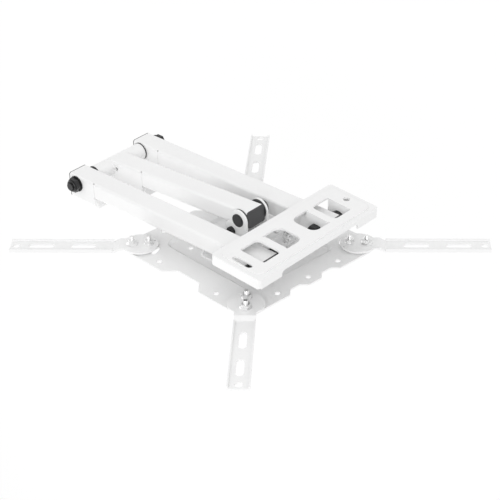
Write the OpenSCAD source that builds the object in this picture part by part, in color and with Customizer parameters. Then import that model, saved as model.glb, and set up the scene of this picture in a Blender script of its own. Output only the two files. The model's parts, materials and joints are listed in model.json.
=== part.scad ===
// Full-motion wall mount for a television, shown folded.
// X runs along the folded arms, +Y points to the wall and +Z is up.
// The origin is the middle of the face of the wall plate that bears on the wall.

/* [Wall plate] */
// Height of the wall plate
wall_len = 208; // [190:1:260]
// Width of the wall plate
wall_wid = 75.5; // [70:0.5:100]
// Thickness of the wall plate's sheet
wall_t = 2.5; // [2:0.1:3]
// Height of the pressed panel above the rim
panel_rise = 1.5; // [1:0.1:2.4]
// Width of the rim round the pressed panel
rim_wid = 6.5; // [5:0.5:9]
// Depth of the skirt at the ends and corners
skirt_deep = 12.8; // [9:0.1:16]
// Depth of the skirt along the middle of the long sides
skirt_low = 5.5; // [4:0.1:6]
// Reach of the deep skirt along a long side, from each corner
skirt_reach = 37.5; // [25:0.5:45]
// Width of the four windows
window_wid = 37; // [34:0.5:44]
// Height of the two inner windows
window_inner = 29.5; // [26:0.5:34]
// Height of the two outer windows
window_outer = 29; // [22:0.5:32]
// Height of the two outer hinge cheeks above the sheet
cheek_outer = 27; // [24:0.5:32]
// Length of the slot for the upper wall screw
screw_slot = 29; // [20:1:40]
// Width of the wall screw slot and of the lower screw hole
screw_bore = 8.5; // [6:0.5:10]
// Distance from the middle to the wall screw slot
slot_at = 91.5; // [86:0.5:96]
// Distance from the middle to the lower screw hole
hole_at = 89.5; // [84:0.5:96]

/* [Arms] */
// Wall hinge to elbow, between axes
outer_reach = 306; // [260:1:380]
// Elbow to head, between axes
inner_reach = 232; // [200:1:280]
// Swing of the outer arms away from the wall plate when folded
arm_swing = 3.6; // [0:0.1:6]
// Angle of the forward arm above the outer arms when folded
fold_rise = 2.9; // [0:0.1:6]
// Depth of the hinge axes below the wall face
axis_depth = 20; // [19:0.5:24]
// Width of an arm
arm_wid = 28.5; // [24:0.5:32]
// Depth of an arm
arm_dep = 22; // [20:0.5:24]
// Wall of an arm
arm_wall = 1.5; // [1.2:0.1:2.5]
// Clear space between the two outer arms
arm_gap = 82; // [76:1:90]
// Drop of the hinge brackets below the axis
bracket_drop = 22.7; // [18:0.1:24]
// Reach of an elbow bracket behind its axis
bracket_back = 12.4; // [11:0.1:13]
// Reach of a wall end bracket behind its axis
wall_back = 8.8; // [8:0.1:12]
// Reach of a bracket along its arm
bracket_len = 31.5; // [26:0.5:40]
// Reach of the forward bracket along its arm
forward_bracket_len = 60; // [50:1:70]
// Wall of a bracket
bracket_t = 2.5; // [2:0.1:3]
// Reach of the forward arm past the head axis
nose = 10; // [9:0.5:11]
// Thickness of the plastic cap over an arm's end
cap_t = 1.2; // [1:0.1:2]

/* [Pivots] */
// Diameter of the main hinge bolts
bolt_d = 10; // [8:1:12]
// Running clearance round a hinge bolt, on the radius
run_gap = 0.05; // [0.02:0.01:0.1]
// Clearance of a part that is seated in another, on the radius
seat_gap = 0.03; // [0.01:0.01:0.1]
// Outer diameter of the elbow barrel
barrel_d = 22; // [20:0.5:24]
// Wall of the elbow barrel
barrel_wall = 2.5; // [2:0.1:3]
// Wall of the sleeves that the wall hinge bolts clamp
sleeve_wall = 2; // [1.5:0.1:3]
// Diameter of the black washers at the wall and the elbow
washer_d = 22.8; // [20:0.2:26]
// Thickness of a black washer
washer_t = 1.5; // [1:0.1:2]
// Play left beside a washer
side_gap = 0.2; // [0.1:0.05:0.4]

/* [Head] */
// Thickness of the yoke
yoke_t = 3; // [2.5:0.1:4]
// Radius of the yoke's ears
ear_r = 13; // [12:0.5:14]
// Radius of the round covers on the swivel bolt
cover_r = 8.3; // [7.5:0.1:10]
// Thickness of the black washers at the head
head_washer_t = 2; // [1.5:0.1:2.5]
// Drop from the head axis to the underside of the yoke's web
yoke_drop = 29; // [28:0.5:30]
// Distance from the head axis to the middle of the screen plate, along the arm
head_offset = 2.2; // [0:0.1:5]
// Inner width of the tilt bracket
tilt_wid = 56; // [50:1:64]
// Half length of the tilt bracket
tilt_half = 52; // [50:1:56]
// Distance from the tilt axis to each lock bolt
lock_at = 32; // [30:0.5:36]
// Greatest tilt either way that the lock slots allow
tilt_stop = 7; // [4:0.5:7]
// Tilt of the screen plate, set by its lock bolts
tilt_rest = -1.3; // [-4:0.1:4]
// Diameter of the tilt pin
tilt_pin_d = 8; // [6:0.5:9]
// Diameter of the lock bolts
lock_d = 6; // [5:0.5:7]

/* [Screen plate] */
// Drop from the head axis to the screen plate
plate_drop = 45.5; // [45:0.1:50]
// Roll of the screen plate, set by its levelling bolts
level_rest = 3.5; // [-4:0.1:4]
// Largest roll that the levelling slots allow
level_stop = 5; // [4:0.5:6]
// Half width of the screen plate
plate_half = 112; // [108:1:124]
// Thickness of the screen plate
plate_t = 2; // [1.5:0.1:2.5]
// Half of the pivot pattern
pivot_half = 100; // [100:1:110]
// Half of the inner hole pattern
vesa_half = 50; // [37.5:12.5:50]
// Half width of the pressed pad
pad_half_w = 78; // [70:1:80]
// Half height of the pressed pad
pad_half_h = 70; // [64:1:74]
// Depth of the pressed pad
pad_depth = 3; // [2:0.1:4]
// Width of the pad's sloping shoulder
pad_slope = 4; // [2:0.5:6]
// Bore of the screen screw holes
screw_hole = 6.5; // [5:0.5:8]

/* [Extension arms] */
// Pivot to end hole
ext_reach = 141.4; // [120:0.1:180]
// Width of an extension arm
ext_wid = 25; // [22:0.5:28]
// Thickness of an extension arm
ext_t = 2.2; // [1.8:0.1:3]
// Diameter of an arm's round end
disc_d = 44; // [40:0.5:46]
// Offset of the round end's middle from the pivot
disc_in = 10; // [8:0.5:12]
// Pivot to clamp bolt
clamp_at = 20.4; // [18:0.1:22]
// Height of the washer under a round end
seat_h = 1.5; // [1:0.1:2.5]
// Length of each slot in an arm
ext_slot = 31; // [24:1:36]
// Width of each slot in an arm
ext_slot_wid = 9; // [7:0.5:11]
// Height of the lips along an arm
lip_h = 2.2; // [1:0.1:4]
// Swing of an arm to each side
ext_swing = 45; // [30:1:45]
// Turn of the left arm from its diagonal
left_turn = 0.9; // [-5:0.1:5]
// Turn of the right arm from its diagonal
right_turn = 0.7; // [-5:0.1:5]
// Turn of the near arm from its diagonal
near_turn = 1.4; // [-5:0.1:5]
// Turn of the far arm from its diagonal
far_turn = 2.8; // [-5:0.1:5]

/* [Hidden] */
$fn = 64;
eps = 0.02;
outer_in = arm_gap / 2;
outer_out = outer_in + arm_wid;
outer_mid = outer_in + arm_wid / 2;
elbow_x = -outer_reach;
axis_y = -axis_depth;
head_x = elbow_x + inner_reach * cos(fold_rise);
head_y = inner_reach * sin(fold_rise);
yoke_screw_at = [-11, -18];
cradle_web = 2.5;
tilt_drop = yoke_drop + cradle_web + tilt_pin_d / 2 + 0.1;
tilt_x = head_x - head_offset;
tilt_y = head_y - tilt_drop;
plate_y = tilt_drop - plate_drop;
cheek_inner_z = outer_in - side_gap - washer_t - side_gap;
cheek_outer_z = outer_out + 6.5;
cheek_wid = window_wid - 3;
cheek_reach = axis_depth - wall_t + 13;
barrel_half = outer_in - washer_t - side_gap;
cheek_face_z = cheek_inner_z - wall_t;
cheek_far_z = cheek_outer_z + wall_t;
sleeve_d = bolt_d + 2 * sleeve_wall;
ear_in = arm_wid / 2 + head_washer_t + side_gap;
ear_out = ear_in + yoke_t;
nut_af = 1.7 * bolt_d;
nut_h = 0.85 * bolt_d;
bolt_head_h = 0.64 * bolt_d;
small_nut_af = 10;
small_nut_h = 5;
small_bolt_d = 6;
flange_nut_d = 14.5;
stub_h = 14;
tilt_in = tilt_wid / 2;
tilt_t = 2.5;
cradle_gap = 0.3;
cradle_out = tilt_in - cradle_gap;
pad_floor = plate_y - pad_depth;
level_at = 20;
relief_d = 2.4;
weld_gap = 0.4;
rest_corner_r = 21;
disc_top = seat_h + ext_t;
pad_lean = pad_slope / pad_depth;
pad_corner_r = 12;
slot_first = 44 + ext_slot / 2;
slot_second = 95 + ext_slot / 2;
arm_turn = [left_turn, right_turn, near_turn, far_turn];
corner_x = [-1, 1, 1, -1];
corner_z = [1, -1, 1, -1];

// Turns a flat outline to face the screen: its x is X, its y is Z, and its height runs to -Y.
module facing() {
    rotate([90, 0, 0]) children();
}

// Turns a flat outline to stand across an arm: its x is Y, its y is Z, and its height runs along X.
module along_x() {
    rotate([90, 0, 90]) children();
}

// The outer arms' frame, its origin on the wall hinge.
module at_swing() {
    translate([0, axis_y, 0]) rotate([0, 0, arm_swing]) children();
}

module at_elbow() {
    at_swing() translate([elbow_x, 0, 0]) children();
}

module at_forward() {
    at_elbow() rotate([0, 0, fold_rise]) children();
}

module at_head() {
    at_swing() translate([head_x, head_y, 0]) children();
}

module at_cradle() {
    at_swing() translate([tilt_x, tilt_y, 0]) children();
}

// The tilt bracket's frame, its origin on the tilt axis.
module at_tilt() {
    at_cradle() rotate([tilt_rest, 0, 0]) children();
}

// The screen plate's own frame: x across, y up, height towards the screen, rolled to the level setting.
module on_screen() {
    at_tilt() translate([0, plate_y, 0]) rotate([0, -level_rest, 0]) facing() children();
}

module both_z() {
    children();
    mirror([0, 0, 1]) children();
}

module ring(outer, inner, h) {
    difference() {
        cylinder(d = outer, h = h);
        translate([0, 0, -1]) cylinder(d = inner, h = h + 2);
    }
}

module hexagon(af, h) {
    cylinder(d = af / cos(30), h = h, $fn = 6);
}

module round_rect(w, h, r) {
    square([w - 2 * r, h], center = true);
    square([w, h - 2 * r], center = true);
    for (x = [-1, 1], y = [-1, 1]) translate([x * (w / 2 - r), y * (h / 2 - r)]) circle(r = r);
}

// A rectangle whose upper corners have one radius and whose lower corners have another.
module two_radius_rect(w, h, r_up, r_down) {
    intersection() {
        round_rect(w, h, r_up);
        translate([-w, 0]) square([2 * w, h]);
    }
    intersection() {
        round_rect(w, h, r_down);
        translate([-w, -h]) square([2 * w, h]);
    }
}

module obround(len, wid) {
    square([len - wid, wid], center = true);
    for (x = [-1, 1]) translate([x * (len - wid) / 2, 0]) circle(d = wid);
}

// Points on an arc round a centre, from the first step to the last of a number of steps.
function arc_points(centre, r, from, to, steps, first, last) =
    [for (i = [first:last]) let (a = from + (to - from) * i / steps) centre + r * [cos(a), sin(a)]];

// A slot along an arc about the origin, with round ends.
module arc_slot(r, wid, from, to) {
    steps = ceil((to - from) / 5);
    round = 10;
    polygon(concat(
        arc_points([0, 0], r + wid / 2, from, to, steps, 0, steps),
        arc_points(r * [cos(to), sin(to)], wid / 2, to, to + 180, round, 1, round - 1),
        arc_points([0, 0], r - wid / 2, to, from, steps, 0, steps),
        arc_points(r * [cos(from), sin(from)], wid / 2, from + 180, from + 360, round, 1, round - 1)));
}

// Wall plate
// A pressed tray: panel, rim and skirt from one sheet, with four hinge cheeks lanced from the windows.

module window_cut(z, h, r_tip, r_root) {
    side = sign(z);
    translate([0, z]) scale([1, side]) two_radius_rect(window_wid, h, r_root, r_tip);
}

// Side view of the skirt's lower edge along a long side, from the middle out.
module skirt_notch(half) {
    low = panel_rise + skirt_low;
    deep = panel_rise + skirt_deep + 1;
    chamfer = 3;
    polygon([[-half + chamfer, low], [half - chamfer, low], [half, low + chamfer], [half, deep],
        [-half, deep], [-half, low + chamfer]]);
}

module hinge_cheek(z, reach, r_tip) {
    // the cheek stands at z, its root in the panel
    translate([0, 0, z - wall_t]) linear_extrude(wall_t) difference() {
        translate([0, -wall_t / 2 - reach / 2])
            two_radius_rect(cheek_wid, reach + wall_t, 1, r_tip);
        translate([0, axis_y]) circle(d = bolt_d + 2 * seat_gap);
    }
}

module wall_plate() {
    panel_w = wall_wid - 2 * rim_wid;
    panel_l = wall_len - 2 * rim_wid;
    color("white") union() {
        facing() difference() {
            union() {
                linear_extrude(wall_t) round_rect(panel_w, panel_l, 9);
                translate([0, 0, panel_rise]) linear_extrude(wall_t) difference() {
                    round_rect(wall_wid, wall_len, 4);
                    round_rect(panel_w - 2 * wall_t, panel_l - 2 * wall_t, 9 - wall_t);
                }
                translate([0, 0, panel_rise]) linear_extrude(skirt_deep) difference() {
                    round_rect(wall_wid, wall_len, 4);
                    round_rect(wall_wid - 2 * wall_t, wall_len - 2 * wall_t, 4 - wall_t + 0.5);
                }
            }
            // windows, screw slot and screw hole
            translate([0, 0, -1]) linear_extrude(wall_t + 2) {
                for (s = [-1, 1]) {
                    window_cut(s * (cheek_inner_z - window_inner / 2), window_inner, 10, 2);
                    window_cut(s * (cheek_outer_z - window_outer / 2), window_outer, 6, 2);
                }
                translate([0, slot_at]) obround(screw_slot, screw_bore);
                translate([0, -hole_at]) circle(d = screw_bore);
            }
            // the long sides are low between the corners, and lower for longer where the arms pass
            for (s = [-1, 1]) {
                half = s < 0 ? outer_out + 2 : wall_len / 2 - skirt_reach;
                translate([s * wall_wid / 2, 0, 0]) rotate([90, 0, 90])
                    linear_extrude(2 * (wall_t + 1), center = true) skirt_notch(half);
            }
            // the end skirts are rounded at their lower corners
            for (s = [-1, 1], e = [-1, 1])
                translate([s * wall_wid / 2, e * wall_len / 2, panel_rise + skirt_deep])
                    rotate([90, 0, 0]) linear_extrude(2 * wall_t + 1, center = true) difference() {
                        square(8, center = true);
                        translate([-s * 4, -4]) circle(r = 4);
                    }
        }
        both_z() hinge_cheek(cheek_inner_z, cheek_reach, 10);
        both_z() hinge_cheek(cheek_outer_z + wall_t, min(cheek_outer, cheek_reach), 7);
    }
}

// The wall hinge

// Each arm has its own bolt, through both of its cheeks, with its nut on the inner cheek.
module wall_bolt() {
    start = cheek_face_z - nut_h - 1.5;
    color("dimgray") translate([0, axis_y, 0]) both_z() {
        translate([0, 0, start]) cylinder(d = bolt_d, h = cheek_far_z - start);
        translate([0, 0, cheek_far_z]) hexagon(nut_af - 1, bolt_head_h);
    }
}

module wall_nut() {
    color("black") translate([0, axis_y, 0]) both_z() translate([0, 0, cheek_face_z - nut_h]) difference() {
        hexagon(nut_af, nut_h);
        translate([0, 0, -1]) cylinder(d = bolt_d + 2 * seat_gap, h = nut_h + 2);
    }
}

// A sleeve round each bolt, clamped between its two cheeks; the arm turns on it.
module wall_barrel() {
    color("gainsboro") translate([0, axis_y, 0]) both_z() translate([0, 0, cheek_inner_z])
        ring(sleeve_d, bolt_d + 2 * seat_gap, cheek_outer_z - cheek_inner_z);
}

module wall_washers() {
    spacer = cheek_outer_z - outer_out - 2 * side_gap;
    bore = sleeve_d + 2 * run_gap;
    color("black") translate([0, axis_y, 0]) both_z() {
        translate([0, 0, cheek_inner_z + side_gap]) ring(washer_d, bore, washer_t);
        translate([0, 0, outer_out + side_gap]) ring(washer_d - 4, bore, spacer);
    }
}

// Outer arms
// Each is a box with its face carried on over the deep bracket at either end.

module box_outline(dep, wid, wall, r) {
    difference() {
        round_rect(dep, wid, r);
        round_rect(dep - 2 * wall, wid - 2 * wall, max(r - wall, 0.5));
    }
}

// The carried-on face: the strip of a box's outline nearest the wall.
module face_outline(r) {
    intersection() {
        box_outline(arm_dep, arm_wid, arm_wall, r);
        translate([arm_dep / 2 - r, -arm_wid]) square([r, 2 * arm_wid]);
    }
}

module relief_holes(x) {
    for (y = [arm_dep / 2 - 1, -arm_dep / 2])
        translate([x, y, 0]) cylinder(d = relief_d, h = arm_wid + 2, center = true);
}

module outer_tube() {
    box_len = outer_reach - 2 * (bracket_len + weld_gap);
    difference() {
        union() {
            translate([bracket_len + weld_gap, 0, 0]) along_x() linear_extrude(box_len)
                box_outline(arm_dep, arm_wid, arm_wall, 3);
            translate([-bracket_back, 0, 0]) along_x()
                linear_extrude(bracket_back + outer_reach + wall_back) face_outline(3);
        }
        relief_holes(bracket_len);
        relief_holes(outer_reach - bracket_len);
    }
}

module upper_arm_tube() {
    color("white") at_elbow() translate([0, 0, outer_mid]) outer_tube();
}

module lower_arm_tube() {
    color("white") at_elbow() translate([0, 0, -outer_mid]) outer_tube();
}

// A bracket: a folded channel that closes against the arm's face. One that is deeper than the arm has a
// tongue under it.
module deep_bracket(back, reach, drop, bore) {
    tongue = drop > arm_dep / 2 ? 4 : 0;
    top = arm_dep / 2 - 3;
    wid = arm_wid;
    difference() {
        union() {
            translate([-back, 0, 0]) along_x() linear_extrude(back + reach) difference() {
                intersection() {
                    translate([(top - drop) / 2 + 2, 0]) round_rect(top + drop + 4, wid, 3);
                    translate([-2 * arm_dep, -wid]) square([2 * arm_dep + top, 2 * wid]);
                }
                translate([-drop + bracket_t, -wid / 2 + bracket_t])
                    square([2 * arm_dep, wid - 2 * bracket_t]);
            }
            translate([0, -drop, -wid / 2 + bracket_t])
                cube([reach + tongue, bracket_t, wid - 2 * bracket_t]);
        }
        cylinder(d = bore, h = wid + 2, center = true);
        relief_holes(reach);
    }
}

module wall_end_brackets() {
    color("white") at_swing() both_z() translate([0, 0, outer_mid]) mirror([1, 0, 0])
        deep_bracket(wall_back, bracket_len, arm_dep / 2, sleeve_d + 2 * run_gap);
}

module elbow_end_brackets() {
    color("white") at_elbow() both_z() translate([0, 0, outer_mid])
        deep_bracket(bracket_back, bracket_len, bracket_drop, bolt_d + 2 * seat_gap);
}

// A cap: a thin plate over the end of a bracket, with a hollow plug inside it.
module arm_end_cap(back, drop, plug) {
    dep = arm_dep / 2 + drop;
    plug_dep = dep - bracket_t - arm_wall - 2.2;
    plug_wid = arm_wid - 2 * bracket_t - 0.6;
    plug_wall = 1.2;
    translate([-back - cap_t, 0, 0]) along_x() linear_extrude(cap_t)
        translate([(arm_dep / 2 - drop) / 2, 0]) round_rect(dep, arm_wid, 3);
    translate([-back, -drop + bracket_t + 0.3, -plug_wid / 2]) difference() {
        cube([plug, plug_dep, plug_wid]);
        translate([-1, plug_wall, plug_wall])
            cube([plug + 2, plug_dep - 2 * plug_wall, plug_wid - 2 * plug_wall]);
    }
}

module arm_end_caps() {
    color("darkslategray") both_z() {
        at_elbow() translate([0, 0, outer_mid]) arm_end_cap(bracket_back, bracket_drop, 5);
        at_swing() translate([0, 0, outer_mid]) mirror([1, 0, 0])
            arm_end_cap(wall_back, arm_dep / 2, wall_back - sleeve_d / 2 - 0.5);
    }
}

// Elbow

module elbow_bolt() {
    washer = 1.5;
    end = outer_out + washer;
    color("dimgray") at_elbow() {
        translate([0, 0, -end]) cylinder(d = bolt_d, h = 2 * end + nut_h + 2);
        translate([0, 0, -end - bolt_head_h]) hexagon(nut_af - 1, bolt_head_h);
    }
}

module elbow_nut() {
    color("black") at_elbow() translate([0, 0, outer_out + 1.5]) difference() {
        union() {
            hexagon(nut_af, nut_h - 2);
            cylinder(d = nut_af - 2, h = nut_h);
        }
        translate([0, 0, -1]) cylinder(d = bolt_d + 2 * seat_gap, h = nut_h + 2);
    }
}

module elbow_outer_washers() {
    color("black") at_elbow() both_z() translate([0, 0, outer_out])
        ring(2.1 * bolt_d, bolt_d + 2 * seat_gap, 1.5);
}

module elbow_barrel() {
    color("white") at_elbow() translate([0, 0, -barrel_half])
        ring(barrel_d, barrel_d - 2 * barrel_wall, 2 * barrel_half);
}

// A flanged bush: a sleeve in the barrel and a black rim between barrel and bracket.
module elbow_bushes() {
    sleeve = 12;
    bore = bolt_d + 2 * run_gap;
    color("black") at_elbow() both_z() {
        translate([0, 0, barrel_half - sleeve])
            ring(barrel_d - 2 * barrel_wall - 2 * seat_gap, bore, sleeve + eps);
        translate([0, 0, barrel_half]) ring(washer_d, bore, washer_t);
    }
}

// Forward arm

module forward_bracket() {
    color("white") at_forward() difference() {
        deep_bracket(0, forward_bracket_len, bracket_drop, barrel_d + 2 * seat_gap);
        translate([14, 1, 0]) cylinder(d = 5, h = arm_wid + 2);
    }
}

module forward_tube() {
    len = inner_reach + nose - forward_bracket_len - weld_gap;
    color("white") at_forward() difference() {
        union() {
            translate([forward_bracket_len + weld_gap, 0, 0]) along_x() linear_extrude(len)
                box_outline(arm_dep, arm_wid, arm_wall, 3);
            along_x() linear_extrude(forward_bracket_len + nose) face_outline(3);
        }
        cylinder(d = barrel_d + 2 * seat_gap, h = arm_wid + 2, center = true);
        relief_holes(forward_bracket_len);
        translate([inner_reach, 0, 0])
            cylinder(d = bolt_d + 4 + 2 * seat_gap, h = arm_wid + 2, center = true);
    }
}

module forward_cap() {
    plug = 2;
    dep = arm_dep - 2 * arm_wall - 0.2;
    wid = arm_wid - 2 * arm_wall - 0.2;
    color("darkslategray") at_forward() translate([inner_reach + nose, 0, 0]) {
        along_x() linear_extrude(cap_t) round_rect(arm_dep, arm_wid, 3);
        translate([-plug, 0, 0]) along_x() linear_extrude(plug) difference() {
            round_rect(dep, wid, 1.4);
            round_rect(dep - 2.4, wid - 2.4, 0.8);
        }
    }
}

module head_bushes() {
    sleeve = 4;
    bore = bolt_d + 2 * run_gap;
    color("black") at_head() both_z() {
        translate([0, 0, arm_wid / 2 - sleeve]) ring(bolt_d + 4, bore, sleeve + eps);
        translate([0, 0, arm_wid / 2]) ring(2 * ear_r - 0.6, bore, head_washer_t);
    }
}

// Head: swivel yoke and tilt cradle

// Side view of an ear: round about the head axis, broad at the web.
module ear_outline() {
    circle(r = ear_r);
    translate([-ear_r, -yoke_drop]) square([2 * ear_r, yoke_drop]);
    translate(yoke_screw_at) circle(r = 8);
    translate(yoke_screw_at + [-3, 5]) circle(r = 7);
    translate([-19, -yoke_drop]) square([16, yoke_drop - 18]);
}

module swivel_yoke() {
    color("white") at_head() union() {
        both_z() translate([0, 0, ear_in]) linear_extrude(yoke_t) difference() {
            ear_outline();
            circle(d = bolt_d + 2 * seat_gap);
            translate(yoke_screw_at) circle(d = small_bolt_d + 2 * seat_gap);
        }
        translate([-19, -yoke_drop, -ear_in - eps]) cube([19 + ear_r, yoke_t, 2 * ear_in + 2 * eps]);
    }
}

module swivel_bolt() {
    color("dimgray") at_head() translate([0, 0, -ear_out - 5])
        cylinder(d = bolt_d, h = 2 * ear_out + 5.5);
}

module swivel_nut_cover() {
    edge = 2;
    color("black") at_head() mirror([0, 0, 1]) translate([0, 0, ear_out]) difference() {
        rotate_extrude() {
            square([cover_r, 5]);
            translate([0, 5]) square([cover_r - edge, edge]);
            intersection() {
                translate([cover_r - edge, 5]) circle(r = edge);
                translate([cover_r - edge, 5]) square(edge);
            }
        }
        translate([0, 0, -1]) cylinder(d = bolt_d + 2 * seat_gap, h = 6.2);
    }
}

module swivel_head_cover() {
    color("black") at_head() translate([0, 0, ear_out]) difference() {
        rotate_extrude() {
            square([cover_r, 1.2]);
            square([cover_r - 0.8, 1.8]);
        }
        translate([0, 0, -1]) cylinder(d = bolt_d + 2 * seat_gap, h = 1.7);
    }
}

module yoke_screw() {
    head = 3.5;
    color("black") at_head() translate(yoke_screw_at) {
        translate([0, 0, -ear_out]) cylinder(d = small_bolt_d, h = 2 * ear_out);
        translate([0, 0, ear_out]) difference() {
            cylinder(d = 11, h = head);
            translate([0, 0, head - 2]) hexagon(5, 3);
        }
        translate([0, 0, -ear_out - small_nut_h]) hexagon(small_nut_af, small_nut_h);
    }
}

module yoke_spacer() {
    color("silver") at_head() translate([yoke_screw_at[0], yoke_screw_at[1], -ear_in])
        ring(small_bolt_d + 3, small_bolt_d + 2 * seat_gap, 2 * ear_in);
}

// The cradle: an upturned channel under the yoke's web, whose cheeks carry the tilt pin and the lock bolts.
module cradle_cheek() {
    reach = lock_at + 5;
    web_half = ear_out + 3;
    drop = tilt_drop - yoke_drop;
    difference() {
        union() {
            // the lower edge rises towards the ends, so that the cradle can rock over the tilt bracket
            polygon([[-7, -14], [-4.8, -reach], [4.8, -reach], [drop, -web_half],
                [drop, web_half], [4.8, reach], [-4.8, reach], [-7, 14]]);
            circle(r = 9);
        }
        circle(d = tilt_pin_d + 2 * run_gap);
        for (s = [-1, 1]) translate([0, s * lock_at]) circle(d = lock_d + 2 * seat_gap);
    }
}

module tilt_cradle() {
    color("white") at_cradle() union() {
        for (s = [-1, 1])
            translate([s > 0 ? cradle_out - tilt_t : -cradle_out, 0, 0]) along_x()
                linear_extrude(tilt_t) cradle_cheek();
        translate([-cradle_out, tilt_drop - yoke_drop - cradle_web, -ear_out - 3])
            cube([2 * cradle_out, cradle_web, 2 * ear_out + 6]);
    }
}

module lock_bolts() {
    end = tilt_in + tilt_t;
    head = 4;
    color("silver") at_cradle() both_z() translate([0, 0, lock_at]) {
        translate([-end - side_gap - 1, 0, 0]) rotate([0, 90, 0]) cylinder(d = lock_d, h = 2 * end + 9);
        translate([end + side_gap, 0, 0]) rotate([0, 90, 0]) cylinder(d = 12, h = 1.5);
        translate([-end - side_gap - head, 0, 0]) rotate([0, 90, 0]) hexagon(small_nut_af, head);
    }
}

module lock_nuts() {
    end = tilt_in + tilt_t + side_gap + 1.5;
    color("silver") at_cradle() both_z() translate([end, 0, lock_at])
        rotate([0, 90, 0]) difference() {
            hexagon(small_nut_af, small_nut_h);
            translate([0, 0, -1]) cylinder(d = lock_d + 2 * seat_gap, h = small_nut_h + 2);
        }
}

// The tilt bracket: a channel on the screen plate's pad, with a bore for the pin and curved lock slots.
module tilt_cheek() {
    reach = lock_at + 9;
    difference() {
        union() {
            polygon([[pad_floor, -tilt_half], [pad_floor + 4, -tilt_half], [3, -reach], [7, -reach + 3], [7, reach - 3],
                [3, reach], [pad_floor + 4, tilt_half], [pad_floor, tilt_half]]);
            circle(r = 11);
        }
        circle(d = tilt_pin_d + 2 * seat_gap);
        for (s = [-1, 1])
            arc_slot(lock_at, lock_d + 0.8, s * 90 - tilt_stop - 0.6, s * 90 + tilt_stop + 0.6);
    }
}

module tilt_bracket() {
    color("white") at_tilt() difference() {
        union() {
            for (s = [-1, 1])
                translate([s > 0 ? tilt_in : -tilt_in - tilt_t, 0, 0]) along_x()
                    linear_extrude(tilt_t) tilt_cheek();
            translate([-tilt_in - tilt_t, pad_floor, -tilt_half])
                cube([2 * (tilt_in + tilt_t), tilt_t, 2 * tilt_half]);
        }
        // seats of the level pin and the level bolts
        translate([0, pad_floor, 0]) facing() translate([0, 0, -tilt_t - 1])
            cylinder(d = small_bolt_d + 2 + 2 * seat_gap, h = tilt_t + 2);
        for (s = [-1, 1]) translate([0, pad_floor, s * level_at]) facing() translate([0, 0, -tilt_t - 1])
            cylinder(d = small_bolt_d + 2 * seat_gap, h = tilt_t + 2);
    }
}

module tilt_pin() {
    end = tilt_in + tilt_t;
    color("silver") at_tilt() translate([-end - 3, 0, 0]) rotate([0, 90, 0]) {
        cylinder(d = tilt_pin_d, h = 2 * end + 6);
        cylinder(d = tilt_pin_d + 5, h = 3);
    }
}

module tilt_pin_clips() {
    end = tilt_in + tilt_t;
    color("dimgray") at_tilt() translate([end, 0, 0]) rotate([0, 90, 0])
        ring(tilt_pin_d + 5, tilt_pin_d + 2 * seat_gap, 1.2);
}

module level_pin() {
    color("silver") at_tilt() translate([0, pad_floor, 0]) facing() {
        translate([0, 0, -tilt_t]) cylinder(d = small_bolt_d + 2, h = tilt_t + plate_t);
        translate([0, 0, -tilt_t - 2]) cylinder(d = small_bolt_d + 7, h = 2);
        translate([0, 0, plate_t + side_gap]) cylinder(d = small_bolt_d + 6, h = 0.8);
        translate([0, 0, plate_t]) cylinder(d = small_bolt_d + 2, h = side_gap);
    }
}

module at_level_bolts() {
    at_tilt() for (s = [-1, 1]) translate([0, pad_floor, s * level_at]) facing() children();
}

module level_bolts() {
    color("silver") at_level_bolts() {
        translate([0, 0, -tilt_t - 8]) cylinder(d = small_bolt_d, h = tilt_t + 8 + plate_t + side_gap);
        translate([0, 0, plate_t + side_gap]) cylinder(d = small_bolt_d + 5, h = 0.8);
    }
}

module level_nuts() {
    color("silver") at_level_bolts() translate([0, 0, -tilt_t - small_nut_h]) difference() {
        hexagon(small_nut_af, small_nut_h);
        translate([0, 0, -1]) cylinder(d = small_bolt_d + 2 * seat_gap, h = small_nut_h + 2);
    }
}

// Screen plate

// The cut-outs that leave three tabs on each upright edge.
module side_bite() {
    // from the recess out to the edge, between the middle tab and a corner
    deep = 8;
    y0 = 18.5;
    y1 = 33;
    polygon([[plate_half - deep, y0], [plate_half + 1, y0 - deep - 1], [plate_half + 1, y1 + deep + 1],
        [plate_half - deep, y1]]);
}

// The cut-out that leaves two tabs on each level edge.
module end_bite() {
    deep = 14;
    flat = 19;
    polygon([[-flat, plate_half - deep], [flat, plate_half - deep], [flat + deep + 1, plate_half + 1],
        [-flat - deep - 1, plate_half + 1]]);
}

module four_corners() {
    for (x = [-1, 1], y = [-1, 1]) scale([x, y, 1]) children();
}

module plate_outline() {
    difference() {
        round_rect(2 * plate_half, 2 * plate_half, rest_corner_r);
        four_corners() side_bite();
        for (y = [-1, 1]) scale([1, y]) end_bite();
    }
}

module plate_holes() {
    for (x = [-1, 1], y = [-1, 0, 1]) translate([x * pivot_half, y * vesa_half]) circle(d = screw_hole);
    for (x = [-1, 1], y = [-1, 1]) {
        translate([x * vesa_half, y * pivot_half]) circle(d = screw_hole);
        translate([x * vesa_half, y * vesa_half]) circle(d = screw_hole);
        translate([x * pivot_half, y * pivot_half]) circle(d = small_bolt_d + 2 * seat_gap);
    }
    four_corners() translate([pivot_half, pivot_half]) {
        // the clamp bolt's track under the round end, and a short relief slot beside it
        arc_slot(clamp_at, small_bolt_d + 0.8, 225 - ext_swing - 3, 225 + ext_swing + 3);
        arc_slot(31, 6.5, 196, 214);
    }
    // levelling: a bore for the pin and two curved slots
    circle(d = small_bolt_d + 2 + 2 * run_gap);
    for (s = [-1, 1])
        arc_slot(level_at, small_bolt_d + 0.8, s * 90 - level_stop, s * 90 + level_stop);
}

// Profile of a block whose sides lean in: its half width at the first height shrinks with the second.
module lean_profile(half, low, high) {
    top = half - (high - low) * pad_lean;
    polygon([[-half, low], [half, low], [top, high], [-top, high]]);
}

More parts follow.
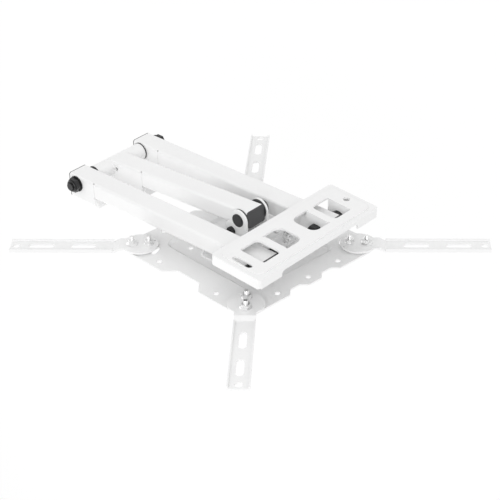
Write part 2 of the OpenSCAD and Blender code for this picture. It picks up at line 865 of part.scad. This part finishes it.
// A rectangular block with leaning sides and conical corners, its half sizes given at its lower face.
module lean_block(w, h, r, low, high) {
    rotate([90, 0, 0]) linear_extrude(2 * (h - r), center = true) lean_profile(w, low, high);
    rotate([90, 0, 90]) linear_extrude(2 * (w - r), center = true) lean_profile(h, low, high);
    for (x = [-1, 1], y = [-1, 1]) translate([x * (w - r), y * (h - r), low])
        cylinder(r1 = r, r2 = r - (high - low) * pad_lean, h = high - low);
}

// The pad's block as seen from one side of the sheet; shift moves its sides inward.
module pad_block(shift, low, high) {
    grow = (plate_t - low) * pad_lean - shift;
    lean_block(pad_half_w + grow, pad_half_h + grow, pad_corner_r + grow, low, high);
}

module screen_plate() {
    color("white") on_screen() difference() {
        union() {
            linear_extrude(plate_t) plate_outline();
            pad_block(0, plate_t / 2, plate_t + pad_depth);
        }
        pad_block(plate_t * sqrt(1 + pad_lean * pad_lean), -1, pad_depth);
        translate([0, 0, -1]) linear_extrude(plate_t + pad_depth + 2) plate_holes();
    }
}

// Places a corner's parts: x outwards along its arm, height towards the screen.
module at_corner(i) {
    out = atan2(corner_z[i], corner_x[i]) + arm_turn[i];
    on_screen() translate([corner_x[i] * pivot_half, corner_z[i] * pivot_half, 0])
        rotate([0, 0, out]) children();
}

module pivot_bolts() {
    color("silver") for (i = [0:3]) at_corner(i) {
        translate([0, 0, -stub_h]) cylinder(d = small_bolt_d, h = stub_h + plate_t);
        translate([0, 0, plate_t]) cylinder(d = small_bolt_d + 6, h = 1.6);
    }
}

// A flange nut: a hexagon on a round foot.
module flange_nut(foot) {
    difference() {
        union() {
            translate([0, 0, -1.4]) cylinder(d = foot, h = 1.4);
            translate([0, 0, -6]) hexagon(small_nut_af, 5);
        }
        translate([0, 0, -7]) cylinder(d = small_bolt_d + 2 * seat_gap, h = 8);
    }
}

module pivot_nuts() {
    color("silver") for (i = [0:3]) at_corner(i) translate([0, 0, -disc_top - 0.1]) flange_nut(flange_nut_d);
}

module seat_washers() {
    color("silver") for (i = [0:3]) at_corner(i) translate([0, 0, -seat_h])
        ring(16, small_bolt_d + 2 * seat_gap, seat_h - 0.05);
}

// Side view of an arm's sheet: raised at its round end, then down to the screen plate's level.
module ext_side() {
    start = 15;
    end = 21.5;
    last = ext_reach + 7;
    polygon([[-disc_in, -disc_top], [start + 0.6, -disc_top], [end + 0.6, 0], [last, 0],
        [last, ext_t], [end - 0.6, ext_t], [start - 0.6, -seat_h], [-disc_in, -seat_h]]);
}

module ext_arm(i) {
    lip_from = 23;
    color("white") at_corner(i) difference() {
        union() {
            translate([-disc_in, 0, -disc_top]) cylinder(d = disc_d, h = ext_t);
            translate([0, ext_wid / 2, 0]) rotate([90, 0, 0]) linear_extrude(ext_wid) ext_side();
            for (s = [-1, 1])
                translate([lip_from, s * (ext_wid / 2 - 0.9) - 0.9, -lip_h])
                    cube([ext_reach + 7 - lip_from, 1.8, lip_h + ext_t / 2]);
        }
        translate([0, 0, -disc_top - 1]) linear_extrude(disc_top + ext_t + 2) {
            circle(d = small_bolt_d + 2 * run_gap);
            translate([-clamp_at, 0]) circle(d = small_bolt_d + 2 * seat_gap);
            translate([slot_first, 0]) obround(ext_slot, ext_slot_wid);
            translate([slot_second, 0]) obround(ext_slot, ext_slot_wid);
            translate([ext_reach, 0]) circle(d = ext_slot_wid);
            translate([-disc_in - disc_d / 2 + 5, 8]) circle(d = 2.5);
        }
    }
}

module clamp_bolt(i) {
    color("silver") at_corner(i) translate([-clamp_at, 0, 0]) {
        translate([0, 0, -stub_h]) cylinder(d = small_bolt_d, h = stub_h + plate_t + side_gap);
        translate([0, 0, plate_t + side_gap]) cylinder(d = small_bolt_d + 5, h = 1.6);
    }
}

module clamp_nut(i) {
    color("silver") at_corner(i) translate([-clamp_at, 0, -disc_top]) flange_nut(flange_nut_d - 2.5);
}

wall_plate();
wall_bolt();
wall_nut();
wall_barrel();
wall_washers();
upper_arm_tube();
lower_arm_tube();
wall_end_brackets();
elbow_end_brackets();
arm_end_caps();
elbow_bolt();
elbow_nut();
elbow_outer_washers();
elbow_barrel();
elbow_bushes();
forward_bracket();
forward_tube();
forward_cap();
head_bushes();
swivel_yoke();
swivel_bolt();
swivel_nut_cover();
swivel_head_cover();
yoke_screw();
yoke_spacer();
tilt_cradle();
lock_bolts();
lock_nuts();
tilt_bracket();
tilt_pin();
tilt_pin_clips();
level_pin();
level_bolts();
level_nuts();
screen_plate();
pivot_bolts();
pivot_nuts();
seat_washers();
ext_arm(0);  // left_arm
clamp_bolt(0);  // left_clamp_bolt
clamp_nut(0);  // left_clamp_nut
ext_arm(1);  // right_arm
clamp_bolt(1);  // right_clamp_bolt
clamp_nut(1);  // right_clamp_nut
ext_arm(2);  // near_arm
clamp_bolt(2);  // near_clamp_bolt
clamp_nut(2);  // near_clamp_nut
ext_arm(3);  // far_arm
clamp_bolt(3);  // far_clamp_bolt
clamp_nut(3);  // far_clamp_nut
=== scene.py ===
import json
import math
import bmesh
import bpy
import numpy as np
from mathutils import Matrix, Vector


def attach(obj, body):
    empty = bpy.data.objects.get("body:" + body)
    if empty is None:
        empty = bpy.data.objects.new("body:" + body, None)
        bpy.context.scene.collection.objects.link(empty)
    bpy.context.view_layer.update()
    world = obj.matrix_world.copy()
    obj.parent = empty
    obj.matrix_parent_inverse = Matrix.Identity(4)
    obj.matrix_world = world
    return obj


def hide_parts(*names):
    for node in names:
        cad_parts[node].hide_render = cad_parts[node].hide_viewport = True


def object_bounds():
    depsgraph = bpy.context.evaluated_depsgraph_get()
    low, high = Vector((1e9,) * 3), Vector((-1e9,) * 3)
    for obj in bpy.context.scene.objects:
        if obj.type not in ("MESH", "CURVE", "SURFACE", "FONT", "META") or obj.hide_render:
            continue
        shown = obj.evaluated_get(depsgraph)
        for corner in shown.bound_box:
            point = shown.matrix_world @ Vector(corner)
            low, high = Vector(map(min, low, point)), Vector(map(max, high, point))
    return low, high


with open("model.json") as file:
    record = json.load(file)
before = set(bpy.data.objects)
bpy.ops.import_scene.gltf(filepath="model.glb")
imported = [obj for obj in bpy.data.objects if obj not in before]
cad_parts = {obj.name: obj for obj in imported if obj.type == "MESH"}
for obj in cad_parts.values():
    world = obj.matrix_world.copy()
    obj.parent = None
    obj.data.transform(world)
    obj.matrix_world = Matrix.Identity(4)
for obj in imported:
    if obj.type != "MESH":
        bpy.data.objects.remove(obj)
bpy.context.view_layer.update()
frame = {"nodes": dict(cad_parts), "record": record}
nodes = frame["nodes"]
joints = {joint["name"]: joint for joint in frame["record"]["behaviour"]["joints"]}
bodyOf = {node: body for body, names in frame["record"]["behaviour"]["bodies"].items() for node in names}
nodeSlot = {part["node"]: part["material_slot"] for part in frame["record"]["subparts"]}
print("frame loaded:", len(nodes), "nodes")

# The photograph's camera, in metres, fitted to the hole patterns
cameraLook = {
    "place": (0.97565, 1.00514, 1.14034),
    "right": (0.731367, 0.009897, -0.681855),
    "up": (-0.39339, 0.82295, -0.409956),
    "lens": 112.19,
    "sensor": 36.0,
    "farthest": 50.0,
}
studio = {
    "floorDrop": 0.42,         # below the lowest point of the mount
    "floorSize": 14.0,
    "floorColour": (0.93, 0.93, 0.93),
    "floorShade": (0.95, 0.95, 0.95),
    "floorGrain": 3.0,
    "floorRough": 0.9,
    "floorSpecular": 0.1,
    "floorGlow": 0.85,         # share of plain white that the camera sees on the floor
    "skyStrength": 0.79,
}
# Discs of light, placed from the middle of the mount; the key lamp is the large soft one behind the camera
lamps = {
    "keyLamp": {"offset": (1.25, 1.15, 1.85), "size": 1.5, "power": 22.0},
    "frontLamp": {"offset": (-0.9, -1.9, 0.9), "size": 1.8, "power": 14.0},
    "sideLamp": {"offset": (-1.9, 0.6, -0.2), "size": 1.8, "power": 6.0},
}


def makeCamera():
    right, up = Vector(cameraLook["right"]), Vector(cameraLook["up"])
    backward = right.cross(up)
    turn = Matrix((right, up, backward)).transposed().to_4x4()
    data = bpy.data.cameras.new("photoCamera")
    data.lens = cameraLook["lens"]
    data.sensor_width = cameraLook["sensor"]
    data.clip_end = cameraLook["farthest"]
    camera = bpy.data.objects.new("photoCamera", data)
    camera.matrix_world = Matrix.Translation(cameraLook["place"]) @ turn
    bpy.context.scene.collection.objects.link(camera)
    bpy.context.scene.camera = camera


def makeLamp(name, look, aim):
    data = bpy.data.lights.new(name, "AREA")
    data.shape = "DISK"
    data.size = look["size"]
    data.energy = look["power"]
    lamp = bpy.data.objects.new(name, data)
    lamp.location = aim + Vector(look["offset"])
    lamp.rotation_euler = (aim - lamp.location).to_track_quat("-Z", "Y").to_euler()
    bpy.context.scene.collection.objects.link(lamp)


def seenShare(tree):
    # 1 for what the camera sees itself, in gloss or through glass, 0 for plain light
    path = tree.nodes.new("ShaderNodeLightPath")
    seen = path.outputs["Is Camera Ray"]
    for name in ("Is Glossy Ray", "Is Transmission Ray"):
        either = tree.nodes.new("ShaderNodeMath")
        either.operation = "MAXIMUM"
        tree.links.new(seen, either.inputs[0])
        tree.links.new(path.outputs[name], either.inputs[1])
        seen = either.outputs["Value"]
    return seen


def toneMix(tree):
    # a colour mix, as its sockets: the factor, the two tones and the result
    mix = tree.nodes.new("ShaderNodeMix")
    mix.data_type = "RGBA"
    return mix.inputs["Factor"], mix.inputs[6], mix.inputs[7], mix.outputs[2]


def whiteSky(tree, strength):
    sky = tree.nodes.new("ShaderNodeBackground")
    sky.inputs["Color"].default_value = (1, 1, 1, 1)
    sky.inputs["Strength"].default_value = strength
    return sky.outputs["Background"]


def makeRoom():
    # a white room that lights the mount less than it shows
    room = bpy.data.worlds.new("paleRoom")
    bpy.context.scene.world = room
    room.use_nodes = True
    tree = room.node_tree
    tree.nodes.clear()
    out = tree.nodes.new("ShaderNodeOutputWorld")
    mix = tree.nodes.new("ShaderNodeMixShader")
    tree.links.new(seenShare(tree), mix.inputs["Fac"])
    tree.links.new(whiteSky(tree, studio["skyStrength"]), mix.inputs[1])
    tree.links.new(whiteSky(tree, 1.0), mix.inputs[2])
    tree.links.new(mix.outputs["Shader"], out.inputs["Surface"])


def makeStudio():
    bpy.context.scene.view_settings.view_transform = "Standard"
    makeRoom()
    low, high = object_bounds()
    size = studio["floorSize"] / 2
    level = low[2] - studio["floorDrop"]
    mesh = bpy.data.meshes.new("floor")
    mesh.from_pydata([(-size, -size, level), (size, -size, level), (size, size, level), (-size, size, level)],
                     [], [(0, 1, 2, 3)])
    floor = bpy.data.objects.new("floor", mesh)
    bpy.context.scene.collection.objects.link(floor)
    floor.data.materials.append(floorMaterial())
    middle = (Vector(low) + Vector(high)) / 2
    for name, look in lamps.items():
        makeLamp(name, look, middle)


def newMaterial(name):
    material = bpy.data.materials.new(name)
    material.use_nodes = True
    shader = material.node_tree.nodes["Principled BSDF"]
    return material, material.node_tree, shader


def floorMaterial():
    # a matt floor that the camera sees as white where nothing shades it
    material, tree, shader = newMaterial("paleFloor")
    grain = tree.nodes.new("ShaderNodeTexNoise")
    grain.inputs["Scale"].default_value = studio["floorGrain"]
    factor, tone, shade, colour = toneMix(tree)
    tone.default_value = (*studio["floorColour"], 1)
    shade.default_value = (*studio["floorShade"], 1)
    tree.links.new(grain.outputs["Fac"], factor)
    tree.links.new(colour, shader.inputs["Base Color"])
    shader.inputs["Roughness"].default_value = studio["floorRough"]
    shader.inputs["Specular IOR Level"].default_value = studio["floorSpecular"]
    glow = tree.nodes.new("ShaderNodeEmission")
    glow.inputs["Color"].default_value = (1, 1, 1, 1)
    glow.inputs["Strength"].default_value = 1.0
    share = tree.nodes.new("ShaderNodeMath")
    share.operation = "MULTIPLY"
    share.inputs[1].default_value = studio["floorGlow"]
    mix = tree.nodes.new("ShaderNodeMixShader")
    out = tree.nodes["Material Output"]
    tree.links.new(seenShare(tree), share.inputs[0])
    tree.links.new(share.outputs["Value"], mix.inputs["Fac"])
    tree.links.new(shader.outputs["BSDF"], mix.inputs[1])
    tree.links.new(glow.outputs["Emission"], mix.inputs[2])
    tree.links.new(mix.outputs["Shader"], out.inputs["Surface"])
    return material


def surfaceGroup():
    # Two noises, one broad and one fine: the broad one shades the colour between two tones, the fine one
    # gives the height of the skin and a little roughness.
    group = bpy.data.node_groups.new("surfaceGrain", "ShaderNodeTree")
    face = group.interface
    for name, value in (("Tone", (0.8, 0.8, 0.8, 1)), ("Tone Shade", (0.7, 0.7, 0.7, 1))):
        face.new_socket(name=name, in_out="INPUT", socket_type="NodeSocketColor").default_value = value
    for name, value in (("Broad Scale", 30.0), ("Fine Scale", 900.0), ("Smooth", 0.3), ("Rough", 0.5)):
        face.new_socket(name=name, in_out="INPUT", socket_type="NodeSocketFloat").default_value = value
    for name, kind in (("Color", "Color"), ("Roughness", "Float"), ("Height", "Float")):
        face.new_socket(name=name, in_out="OUTPUT", socket_type="NodeSocket" + kind)
    inside, outside = group.nodes.new("NodeGroupInput"), group.nodes.new("NodeGroupOutput")
    place = group.nodes.new("ShaderNodeTexCoord")
    broad, fine = group.nodes.new("ShaderNodeTexNoise"), group.nodes.new("ShaderNodeTexNoise")
    broad.inputs["Detail"].default_value = 3.0
    fine.inputs["Detail"].default_value = 2.0
    link = group.links.new
    link(place.outputs["Object"], broad.inputs["Vector"])
    link(place.outputs["Object"], fine.inputs["Vector"])
    link(inside.outputs["Broad Scale"], broad.inputs["Scale"])
    link(inside.outputs["Fine Scale"], fine.inputs["Scale"])
    factor, tone, shade, colour = toneMix(group)
    link(broad.outputs["Fac"], factor)
    link(inside.outputs["Tone"], tone)
    link(inside.outputs["Tone Shade"], shade)
    link(colour, outside.inputs["Color"])
    gloss = group.nodes.new("ShaderNodeMapRange")
    link(fine.outputs["Fac"], gloss.inputs["Value"])
    link(inside.outputs["Smooth"], gloss.inputs["To Min"])
    link(inside.outputs["Rough"], gloss.inputs["To Max"])
    link(gloss.outputs["Result"], outside.inputs["Roughness"])
    link(fine.outputs["Fac"], outside.inputs["Height"])
    return group


# broad and fine are the noises' scales; depth is the height of the skin in metres and bump the share shown
finishes = {
    "whiteCoat": {"tone": (0.87, 0.87, 0.87), "shade": (0.83, 0.83, 0.83), "broad": 22.0, "fine": 850.0,
                  "smooth": 0.34, "rough": 0.46, "metal": 0.0, "bump": 0.05, "depth": 0.0004},
    "charcoalPlastic": {"tone": (0.075, 0.075, 0.077), "shade": (0.055, 0.055, 0.057), "broad": 60.0,
                        "fine": 1600.0, "smooth": 0.42, "rough": 0.6, "metal": 0.0, "bump": 0.18,
                        "depth": 0.0003},
    "blackSteel": {"tone": (0.05, 0.05, 0.051), "shade": (0.03, 0.03, 0.031), "broad": 90.0, "fine": 1400.0,
                   "smooth": 0.26, "rough": 0.44, "metal": 0.7, "bump": 0.1, "depth": 0.0003},
    "blackPlastic": {"tone": (0.03, 0.03, 0.031), "shade": (0.02, 0.02, 0.021), "broad": 70.0, "fine": 1500.0,
                     "smooth": 0.3, "rough": 0.46, "metal": 0.0, "bump": 0.1, "depth": 0.0003},
    "zinc": {"tone": (0.9, 0.9, 0.9), "shade": (0.8, 0.8, 0.8), "broad": 160.0, "fine": 2200.0,
             "smooth": 0.2, "rough": 0.36, "metal": 1.0, "bump": 0.12, "depth": 0.0003},
    "steel": {"tone": (0.72, 0.72, 0.73), "shade": (0.6, 0.6, 0.61), "broad": 120.0, "fine": 2000.0,
              "smooth": 0.26, "rough": 0.44, "metal": 1.0, "bump": 0.12, "depth": 0.0003},
}
grainSockets = {"Broad Scale": "broad", "Fine Scale": "fine", "Smooth": "smooth", "Rough": "rough"}
grainGroup = surfaceGroup()


def makeFinish(name):
    look = finishes[name]
    material, tree, shader = newMaterial(name)
    grain = tree.nodes.new("ShaderNodeGroup")
    grain.node_tree = grainGroup
    grain.inputs["Tone"].default_value = (*look["tone"], 1)
    grain.inputs["Tone Shade"].default_value = (*look["shade"], 1)
    for socket, key in grainSockets.items():
        grain.inputs[socket].default_value = look[key]
    bump = tree.nodes.new("ShaderNodeBump")
    bump.inputs["Strength"].default_value = look["bump"]
    bump.inputs["Distance"].default_value = look["depth"]
    tree.links.new(grain.outputs["Color"], shader.inputs["Base Color"])
    tree.links.new(grain.outputs["Roughness"], shader.inputs["Roughness"])
    tree.links.new(grain.outputs["Height"], bump.inputs["Height"])
    tree.links.new(bump.outputs["Normal"], shader.inputs["Normal"])
    shader.inputs["Metallic"].default_value = look["metal"]
    return material


materials = {name: makeFinish(name) for name in finishes}
slotFinish = {"white_coat": "whiteCoat", "charcoal_plastic": "charcoalPlastic", "zinc": "zinc",
              "black_fittings": "blackSteel", "black_plastic": "blackPlastic", "steel": "steel"}
for node, slotName in nodeSlot.items():
    for slot in nodes[node].material_slots:
        slot.material = materials[slotFinish[slotName]]
print("finishes given to every node")

# New pieces: each is a surface of two parameters, rows along a profile and columns round it
pieceLook = {"weld": 1e-7, "sharpAngle": 28}
sameness = 1e6                 # corners that agree to a micrometre are one


def solidPlaces(node, axis):
    # Splits a node into its solids and gives, for each, its axis point and its ends along the axis.
    # Corners that share a place share a number, and each triangle lowers its corners to the lowest number.
    mesh = nodes[node].data
    points = np.empty(len(mesh.vertices) * 3)
    mesh.vertices.foreach_get("co", points)
    points = points.reshape(-1, 3)
    mesh.calc_loop_triangles()
    corners = np.empty(len(mesh.loop_triangles) * 3, dtype=np.int64)
    mesh.loop_triangles.foreach_get("vertices", corners)
    keys, number = np.unique(np.round(points * sameness), axis=0, return_inverse=True)
    triangles = number.reshape(-1)[corners].reshape(-1, 3)
    label = np.arange(len(keys))
    while True:
        lowest = label.copy()
        np.minimum.at(lowest, triangles, label[triangles].min(axis=1)[:, None])
        if (lowest == label).all():
            break
        label = lowest
    along = np.array(axis, float) / np.linalg.norm(axis)
    side = np.cross(along, (0.0, 0.0, 1.0) if abs(along[2]) < 0.9 else (1.0, 0.0, 0.0))
    side /= np.linalg.norm(side)
    basis = np.array((side, np.cross(along, side), along))
    places = []
    for solid in np.unique(label):
        local = keys[label == solid] / sameness @ basis.T
        low, high = local.min(axis=0), local.max(axis=0)
        foot = np.array(((low[0] + high[0]) / 2, (low[1] + high[1]) / 2, low[2]))
        places.append({"foot": foot @ basis, "basis": basis, "length": high[2] - low[2]})
    return places


def turnedGrid(radius, height, turns):
    # The point at turn a and step s is (radius(s, a) cos a, radius(s, a) sin a, height(s, a)).
    return np.stack((radius * np.cos(turns), radius * np.sin(turns), height), axis=-1)


def inPlace(grid, place):
    return grid @ place["basis"] + place["foot"]


def gridFaces(rows, columns, start, closed):
    # Quads between each row and the next, round every column; a closed profile joins its last row
    # to its first.
    row = np.arange(rows if closed else rows - 1)[:, None]
    column = np.arange(columns)[None, :]
    below, above = row * columns, (row + 1) % rows * columns
    right = (column + 1) % columns
    quads = np.stack((below + column, below + right, above + right, above + column), axis=-1)
    return quads.reshape(-1, 4) + start


def addPiece(name, grids, node, takesPlace=True):
    # grids: (points by row and column, closed) in metres, in the object's frame. The piece moves with the
    # node's body, has its finish and stands in for it, unless takesPlace is off.
    points, faces, start = [], [], 0
    for grid, closed in grids:
        rows, columns = grid.shape[:2]
        points.append(grid.reshape(-1, 3))
        faces.append(gridFaces(rows, columns, start, closed))
        start += rows * columns
    mesh = bpy.data.meshes.new(name)
    mesh.from_pydata(np.concatenate(points).tolist(), [], np.concatenate(faces).tolist())
    work = bmesh.new()
    work.from_mesh(mesh)
    bmesh.ops.remove_doubles(work, verts=work.verts, dist=pieceLook["weld"])
    bmesh.ops.recalc_face_normals(work, faces=work.faces)
    work.to_mesh(mesh)
    work.free()
    mesh.set_sharp_from_angle(angle=math.radians(pieceLook["sharpAngle"]))
    piece = bpy.data.objects.new(name, mesh)
    bpy.context.scene.collection.objects.link(piece)
    mesh.materials.append(materials[slotFinish[nodeSlot[node]]])
    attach(piece, bodyOf[node])
    if takesPlace:
        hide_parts(node)


# Nuts and bolts, in metres. flats is the width across the flats, face the flat ring's share of it, foot and
# collar are round parts under and over the flats.
flangeNut = {"flats": 0.010, "bore": 0.00606, "face": 0.97, "foot": 0.0145, "footRise": 0.0014}
clampNut = {**flangeNut, "foot": 0.012}
plainNut = {"flats": 0.010, "bore": 0.00606, "face": 0.97}
hingeNut = {"flats": 0.017, "bore": 0.01006, "face": 0.96, "collar": 0.0022, "collarRadius": 0.0075}
wallNut = {"flats": 0.017, "bore": 0.01006, "face": 0.96}
nutShape = {
    "columns": 72,
    "boreEdge": 0.0004,        # chamfer of the bore
    "rim": 0.0006,             # chamfer of a collar and fall of a foot
    "footEdge": 0.0004,
    "footIn": 0.0002,
    "footFlats": 0.0005,       # the flats end this high above the foot
    "slope": 0.5,              # rise over run of the chamfer over the flats
    "spare": 0.00002,          # a row stands this far past the corners before the flats cut it
}
# plain is the smooth length under the head, thread the depth of the thread
pivotBolt = {"headHeight": 0.0016, "headWidth": 0.012, "dome": 0.0012, "shank": 0.006, "pitch": 0.001,
             "thread": 0.0004, "plain": 0.0035}
clampBolt = {**pivotBolt, "headWidth": 0.011}
levelBolt = {**pivotBolt, "headWidth": 0.011, "headHeight": 0.0008, "dome": 0.0006, "plain": 0.0045}
boltShape = {
    "columns": 72,
    "domeRows": 8,
    "threadColumns": 24,
    "pitchRows": 6,
    "sunk": 0.0002,            # the shank starts this far inside the head
    "threadStart": 0.00001,    # from the last smooth row to the first of the thread
    "tip": 0.0004,             # length of the cone at the end
    "tipIn": 0.0002,
    "leastThread": 0.35,       # share of the thread's depth left at the tip
}


def hexCut(profile, flats, turns):
    # A hexagon's radius at turn a is half its flats over the cosine of the turn from the nearest flat.
    away = (turns + math.pi / 6) % (math.pi / 3) - math.pi / 6
    return np.minimum(profile[:, None], flats / 2 / np.cos(away)[None, :])


def nutGrid(look, place):
    # Profile of a nut, a closed loop: up the bore, out over a chamfer, down the flats and over its foot.
    high, bore, flats = place["length"], look["bore"] / 2, look["flats"]
    edge, rim = nutShape["boreEdge"], nutShape["rim"]
    face = flats / 2 * look["face"]
    corner = flats / 2 / math.cos(math.pi / 6)
    drop = (corner - face) * nutShape["slope"]
    past = corner + nutShape["spare"]
    hexTop = high - look.get("collar", 0.0)
    rows = [(bore + edge, 0.0), (bore, edge), (bore, high - edge), (bore + edge, high)]
    if "collar" in look:
        ring = look["collarRadius"]
        rows += [(ring - rim, high), (ring, high - rim), (ring, hexTop)]
    rows += [(face, hexTop), (past, hexTop - drop)]
    top = len(rows) - 1
    if "foot" in look:
        foot, rise = look["foot"] / 2, look["footRise"]
        rows += [(past, rise + nutShape["footFlats"]), (foot - rim, rise),
                 (foot, rise - nutShape["footEdge"]), (foot - nutShape["footIn"], 0.0)]
    else:
        rows += [(past, drop), (face, 0.0)]
    radius, height = np.array(rows).T
    turns = np.linspace(0, 2 * math.pi, nutShape["columns"], endpoint=False)
    wide = np.repeat(radius[:, None], len(turns), axis=1)
    wide[top:top + 2] = hexCut(radius[top:top + 2], flats, turns)
    # a chamfer's point that a flat pulls in lies further out by as much as the cone rises there
    tall = np.repeat(height[:, None], len(turns), axis=1)
    tall[top] += (radius[top] - wide[top]) * nutShape["slope"]
    if "foot" not in look:
        tall[top + 1] -= (radius[top + 1] - wide[top + 1]) * nutShape["slope"]
    return inPlace(turnedGrid(wide, tall, turns), place)


def headGrid(look):
    # A dome from its pole to the head's rim, the rim's side and the flat under it
    turns = np.linspace(0, 2 * math.pi, boltShape["columns"], endpoint=False)
    reach = look["headWidth"] / 2
    arc = np.linspace(0, math.pi / 2, boltShape["domeRows"] + 1)
    radius = np.concatenate((reach * np.sin(arc), (reach, 0.0)))
    height = np.concatenate((look["dome"] * (1 - np.cos(arc)), (look["headHeight"], look["headHeight"])))
    return turnedGrid(radius[:, None], np.repeat(height[:, None], len(turns), axis=1), turns)


def shankGrid(look, long):
    # The shank's radius is its root plus the thread's depth times a triangle wave of height over pitch
    # less the turn.
    head, full, pitch = look["headHeight"], look["shank"] / 2, look["pitch"]
    columns = boltShape["threadColumns"]
    turns = np.linspace(0, 2 * math.pi, columns, endpoint=False)
    first, sunk = look["plain"] + head, head - boltShape["sunk"]
    steps = int((long - first) / pitch * boltShape["pitchRows"])
    climb = np.linspace(first, long - boltShape["tip"], steps)
    wave = 2 * np.abs((climb[:, None] / pitch - turns[None, :] / (2 * math.pi)) % 1 - 0.5)
    fade = np.clip((long - climb) / pitch, boltShape["leastThread"], 1)[:, None]
    threaded = full - look["thread"] * (1 - wave * fade)
    tip = full - look["thread"] - boltShape["tipIn"]
    wide = np.concatenate((np.zeros((1, columns)), np.full((2, columns), full), threaded,
                           np.full((1, columns), tip), np.zeros((1, columns))))
    tall = np.concatenate(((sunk, sunk, first - boltShape["threadStart"]), climb, (long, long)))
    return turnedGrid(wide, np.repeat(tall[:, None], columns, axis=1), turns)


def nutsOf(node, axis, look):
    addPiece(node + "_turned", [(nutGrid(look, place), True) for place in solidPlaces(node, axis)], node)


def boltsOf(node, axis, look):
    grids = []
    for place in solidPlaces(node, axis):
        grids += [(inPlace(headGrid(look), place), False),
                  (inPlace(shankGrid(look, place["length"]), place), False)]
    addPiece(node + "_threaded", grids, node)


awayFromScreen = [-value for value in joints["left_extension_swing"]["axis"]]
upright = [0.0, 0.0, 1.0]
tiltAxis = joints["tilt"]["axis"]
nutsOf("pivot_nuts", awayFromScreen, flangeNut)
boltsOf("pivot_bolts", awayFromScreen, pivotBolt)
for name in ("left", "right", "near", "far"):
    nutsOf(name + "_clamp_nut", awayFromScreen, clampNut)
    boltsOf(name + "_clamp_bolt", awayFromScreen, clampBolt)
nutsOf("level_nuts", awayFromScreen, plainNut)
boltsOf("level_bolts", awayFromScreen, levelBolt)
nutsOf("elbow_nut", upright, hingeNut)
nutsOf("wall_nut", upright, wallNut)
nutsOf("lock_nuts", tiltAxis, plainNut)
print("nuts and threaded bolts made")

# Small sheets of the arms, as outlines (x along the arm, y towards the wall) from the hinge axis, in metres:
# the joining strip over a seam of the wall side, and the lip that closes a deep bracket's open end.
strip = {"half": 0.00085, "low": 0.0100, "high": 0.01102, "width": 0.0245}
lip = {"reach": 0.006, "top": -0.0108, "bottom": -0.0226, "inside": 0.0008, "edge": 0.0006, "width": 0.0262}
outerSeam, forwardSeam = 0.0315, 0.06      # from an arm's hinge axis to the end of its bracket


def stripOutline(seam):
    half = strip["half"]
    return [(seam - half, strip["low"]), (seam + half, strip["low"]),
            (seam + half, strip["high"]), (seam - half, strip["high"])]


def lipOutline(seam):
    far, inside = seam + lip["reach"], seam - lip["inside"]
    return [(seam, lip["top"]), (inside, lip["top"]), (inside, lip["bottom"]), (far, lip["bottom"]),
            (far, lip["bottom"] + lip["edge"])]


def sheetGrid(outline, width, foot, end, middleHeight):
    # Rows: the middle of the lower end, the outline at the lower end, at the upper end, and its middle.
    foot, end = np.array(foot), np.array(end)
    along = (end - foot) / np.linalg.norm(end - foot)
    towards = np.array((-along[1], along[0], 0.0)) * (1 if along[0] > 0 else -1)
    ring = np.array([foot + along * x + towards * y for x, y in outline])
    middle = np.repeat(ring.mean(axis=0)[None, :], len(ring), axis=0)
    heights = np.array((-1, -1, 1, 1)) * width / 2 + middleHeight
    return np.array((middle, ring, ring, middle)) + heights[:, None, None] * (0.0, 0.0, 1.0)


def tubeHeight(node):
    heights = [corner[2] for corner in nodes[node].bound_box]
    return (min(heights) + max(heights)) / 2


def sheetPiece(name, outline, width, spans, tube):
    addPiece(name, [(sheetGrid(outline, width, foot, end, tubeHeight(tube)), False) for foot, end in spans],
             tube, False)


wallAxis, elbowAxis, headAxis = (joints[name]["pos_m"] for name in ("wall_swing", "elbow", "head_swivel"))
outward, inward = (wallAxis, elbowAxis), (elbowAxis, wallAxis)
for tube in ("upper_arm_tube", "lower_arm_tube"):
    sheetPiece(tube + "_strips", stripOutline(outerSeam), strip["width"], (outward, inward), tube)
    sheetPiece(tube + "_lip", lipOutline(outerSeam), lip["width"], (inward,), tube)
forward = ((elbowAxis, headAxis),)
sheetPiece("forward_tube_strip", stripOutline(forwardSeam), strip["width"], forward, "forward_tube")
sheetPiece("forward_tube_lip", lipOutline(forwardSeam), lip["width"], forward, "forward_tube")
print("seam strips and bracket lips made")

makeCamera()
makeStudio()
print("camera, floor and lamps placed")
